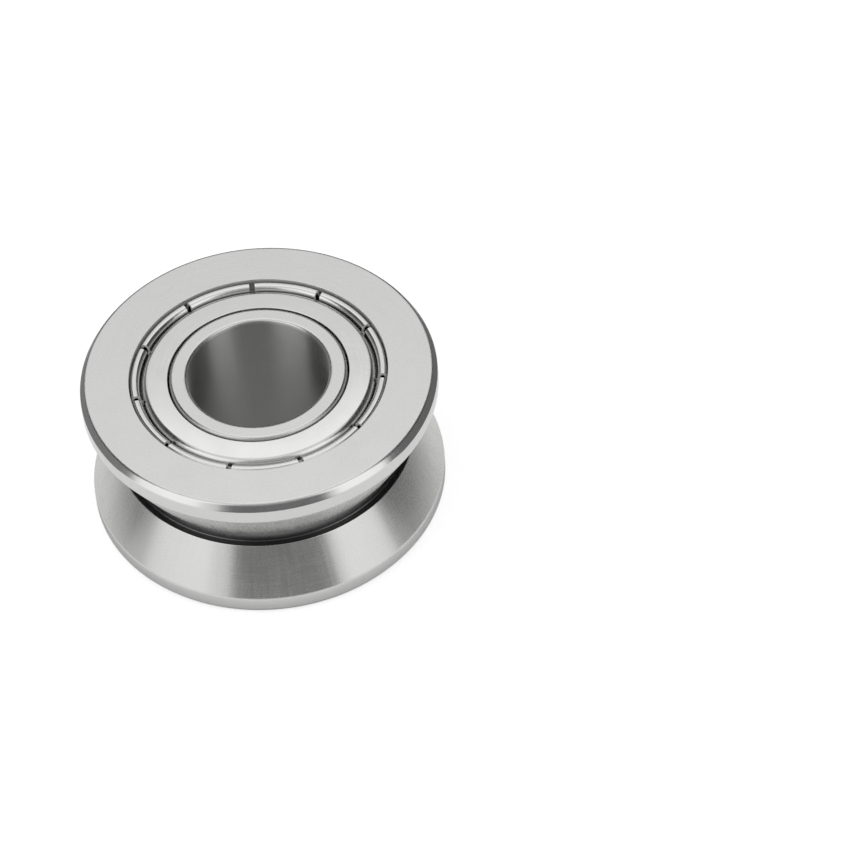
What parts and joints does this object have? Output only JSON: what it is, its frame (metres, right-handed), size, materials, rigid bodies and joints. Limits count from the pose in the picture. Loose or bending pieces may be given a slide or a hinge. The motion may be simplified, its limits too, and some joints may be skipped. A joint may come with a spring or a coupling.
{
  "type": "v groove wheel",
  "caption": "Steel guide wheel with a V groove in its rim, a plain centre bore, shielded sides and ball rows inside, which rolls along a V rail.",
  "frame": {"origin": "centre of the wheel, on its axle and half way between its side faces", "axes": "+Z along the axle, the wheel lying on its lower side face; +X and +Y across it"},
  "size_m": [0.038, 0.038, 0.017],
  "materials": {
    "ring_steel": "fine ground bearing steel",
    "shield_steel": "pressed bright sheet steel",
    "ball_steel": "polished",
    "cage_polyamide": "moulded, natural"
  },
  "bodies": {
    "inner_ring": {"inner_ring": "ring_steel"},
    "outer_ring": {"outer_ring": "ring_steel", "upper_shield": "shield_steel", "lower_shield": "shield_steel"},
    "upper_cage": {"upper_cage": "cage_polyamide"},
    "lower_cage": {"lower_cage": "cage_polyamide"},
    "upper_ball_01": {"upper_ball_01": "ball_steel"},
    "upper_ball_02": {"upper_ball_02": "ball_steel"},
    "upper_ball_03": {"upper_ball_03": "ball_steel"},
    "upper_ball_04": {"upper_ball_04": "ball_steel"},
    "upper_ball_05": {"upper_ball_05": "ball_steel"},
    "upper_ball_06": {"upper_ball_06": "ball_steel"},
    "upper_ball_07": {"upper_ball_07": "ball_steel"},
    "upper_ball_08": {"upper_ball_08": "ball_steel"},
    "upper_ball_09": {"upper_ball_09": "ball_steel"},
    "upper_ball_10": {"upper_ball_10": "ball_steel"},
    "lower_ball_01": {"lower_ball_01": "ball_steel"},
    "lower_ball_02": {"lower_ball_02": "ball_steel"},
    "lower_ball_03": {"lower_ball_03": "ball_steel"},
    "lower_ball_04": {"lower_ball_04": "ball_steel"},
    "lower_ball_05": {"lower_ball_05": "ball_steel"},
    "lower_ball_06": {"lower_ball_06": "ball_steel"},
    "lower_ball_07": {"lower_ball_07": "ball_steel"},
    "lower_ball_08": {"lower_ball_08": "ball_steel"},
    "lower_ball_09": {"lower_ball_09": "ball_steel"},
    "lower_ball_10": {"lower_ball_10": "ball_steel"}
  },
  "joints": [
    {"name": "outer_ring_spin", "type": "hinge", "parent": "inner_ring", "child": "outer_ring", "pos_m": [0, 0, 0], "axis": [0, 0, 1], "continuous": true},
    {"name": "upper_cage_spin", "type": "hinge", "parent": "inner_ring", "child": "upper_cage", "pos_m": [0, 0, 0], "axis": [0, 0, 1], "continuous": true},
    {"name": "lower_cage_spin", "type": "hinge", "parent": "inner_ring", "child": "lower_cage", "pos_m": [0, 0, 0], "axis": [0, 0, 1], "continuous": true},
    {"name": "upper_ball_01_roll", "type": "hinge", "parent": "upper_cage", "child": "upper_ball_01", "pos_m": [0.0114, 0, 0.0032], "axis": [0.4226, 0, 0.9063], "continuous": true},
    {"name": "upper_ball_02_roll", "type": "hinge", "parent": "upper_cage", "child": "upper_ball_02", "pos_m": [0.00922, 0.0067, 0.0032], "axis": [0.3419, 0.2484, 0.9063], "continuous": true},
    {"name": "upper_ball_03_roll", "type": "hinge", "parent": "upper_cage", "child": "upper_ball_03", "pos_m": [0.00352, 0.01084, 0.0032], "axis": [0.1306, 0.4019, 0.9063], "continuous": true},
    {"name": "upper_ball_04_roll", "type": "hinge", "parent": "upper_cage", "child": "upper_ball_04", "pos_m": [-0.00352, 0.01084, 0.0032], "axis": [-0.1306, 0.4019, 0.9063], "continuous": true},
    {"name": "upper_ball_05_roll", "type": "hinge", "parent": "upper_cage", "child": "upper_ball_05", "pos_m": [-0.00922, 0.0067, 0.0032], "axis": [-0.3419, 0.2484, 0.9063], "continuous": true},
    {"name": "upper_ball_06_roll", "type": "hinge", "parent": "upper_cage", "child": "upper_ball_06", "pos_m": [-0.0114, 0, 0.0032], "axis": [-0.4226, 0, 0.9063], "continuous": true},
    {"name": "upper_ball_07_roll", "type": "hinge", "parent": "upper_cage", "child": "upper_ball_07", "pos_m": [-0.00922, -0.0067, 0.0032], "axis": [-0.3419, -0.2484, 0.9063], "continuous": true},
    {"name": "upper_ball_08_roll", "type": "hinge", "parent": "upper_cage", "child": "upper_ball_08", "pos_m": [-0.00352, -0.01084, 0.0032], "axis": [-0.1306, -0.4019, 0.9063], "continuous": true},
    {"name": "upper_ball_09_roll", "type": "hinge", "parent": "upper_cage", "child": "upper_ball_09", "pos_m": [0.00352, -0.01084, 0.0032], "axis": [0.1306, -0.4019, 0.9063], "continuous": true},
    {"name": "upper_ball_10_roll", "type": "hinge", "parent": "upper_cage", "child": "upper_ball_10", "pos_m": [0.00922, -0.0067, 0.0032], "axis": [0.3419, -0.2484, 0.9063], "continuous": true},
    {"name": "lower_ball_01_roll", "type": "hinge", "parent": "lower_cage", "child": "lower_ball_01", "pos_m": [0.01084, 0.00352, -0.0032], "axis": [-0.4019, -0.1306, 0.9063], "continuous": true},
    {"name": "lower_ball_02_roll", "type": "hinge", "parent": "lower_cage", "child": "lower_ball_02", "pos_m": [0.0067, 0.00922, -0.0032], "axis": [-0.2484, -0.3419, 0.9063], "continuous": true},
    {"name": "lower_ball_03_roll", "type": "hinge", "parent": "lower_cage", "child": "lower_ball_03", "pos_m": [0, 0.0114, -0.0032], "axis": [0, -0.4226, 0.9063], "continuous": true},
    {"name": "lower_ball_04_roll", "type": "hinge", "parent": "lower_cage", "child": "lower_ball_04", "pos_m": [-0.0067, 0.00922, -0.0032], "axis": [0.2484, -0.3419, 0.9063], "continuous": true},
    {"name": "lower_ball_05_roll", "type": "hinge", "parent": "lower_cage", "child": "lower_ball_05", "pos_m": [-0.01084, 0.00352, -0.0032], "axis": [0.4019, -0.1306, 0.9063], "continuous": true},
    {"name": "lower_ball_06_roll", "type": "hinge", "parent": "lower_cage", "child": "lower_ball_06", "pos_m": [-0.01084, -0.00352, -0.0032], "axis": [0.4019, 0.1306, 0.9063], "continuous": true},
    {"name": "lower_ball_07_roll", "type": "hinge", "parent": "lower_cage", "child": "lower_ball_07", "pos_m": [-0.0067, -0.00922, -0.0032], "axis": [0.2484, 0.3419, 0.9063], "continuous": true},
    {"name": "lower_ball_08_roll", "type": "hinge", "parent": "lower_cage", "child": "lower_ball_08", "pos_m": [0, -0.0114, -0.0032], "axis": [0, 0.4226, 0.9063], "continuous": true},
    {"name": "lower_ball_09_roll", "type": "hinge", "parent": "lower_cage", "child": "lower_ball_09", "pos_m": [0.0067, -0.00922, -0.0032], "axis": [-0.2484, 0.3419, 0.9063], "continuous": true},
    {"name": "lower_ball_10_roll", "type": "hinge", "parent": "lower_cage", "child": "lower_ball_10", "pos_m": [0.01084, -0.00352, -0.0032], "axis": [-0.4019, 0.1306, 0.9063], "continuous": true}
  ],
  "couplings": [
    {"joint": "upper_cage_spin", "follows": "outer_ring_spin", "ratio": 0.59939},
    {"joint": "lower_cage_spin", "follows": "outer_ring_spin", "ratio": 0.59939},
    {"joint": "upper_ball_01_roll", "follows": "outer_ring_spin", "ratio": 2.1897},
    {"joint": "upper_ball_02_roll", "follows": "outer_ring_spin", "ratio": 2.1897},
    {"joint": "upper_ball_03_roll", "follows": "outer_ring_spin", "ratio": 2.1897},
    {"joint": "upper_ball_04_roll", "follows": "outer_ring_spin", "ratio": 2.1897},
    {"joint": "upper_ball_05_roll", "follows": "outer_ring_spin", "ratio": 2.1897},
    {"joint": "upper_ball_06_roll", "follows": "outer_ring_spin", "ratio": 2.1897},
    {"joint": "upper_ball_07_roll", "follows": "outer_ring_spin", "ratio": 2.1897},
    {"joint": "upper_ball_08_roll", "follows": "outer_ring_spin", "ratio": 2.1897},
    {"joint": "upper_ball_09_roll", "follows": "outer_ring_spin", "ratio": 2.1897},
    {"joint": "upper_ball_10_roll", "follows": "outer_ring_spin", "ratio": 2.1897},
    {"joint": "lower_ball_01_roll", "follows": "outer_ring_spin", "ratio": 2.1897},
    {"joint": "lower_ball_02_roll", "follows": "outer_ring_spin", "ratio": 2.1897},
    {"joint": "lower_ball_03_roll", "follows": "outer_ring_spin", "ratio": 2.1897},
    {"joint": "lower_ball_04_roll", "follows": "outer_ring_spin", "ratio": 2.1897},
    {"joint": "lower_ball_05_roll", "follows": "outer_ring_spin", "ratio": 2.1897},
    {"joint": "lower_ball_06_roll", "follows": "outer_ring_spin", "ratio": 2.1897},
    {"joint": "lower_ball_07_roll", "follows": "outer_ring_spin", "ratio": 2.1897},
    {"joint": "lower_ball_08_roll", "follows": "outer_ring_spin", "ratio": 2.1897},
    {"joint": "lower_ball_09_roll", "follows": "outer_ring_spin", "ratio": 2.1897},
    {"joint": "lower_ball_10_roll", "follows": "outer_ring_spin", "ratio": 2.1897}
  ]
}
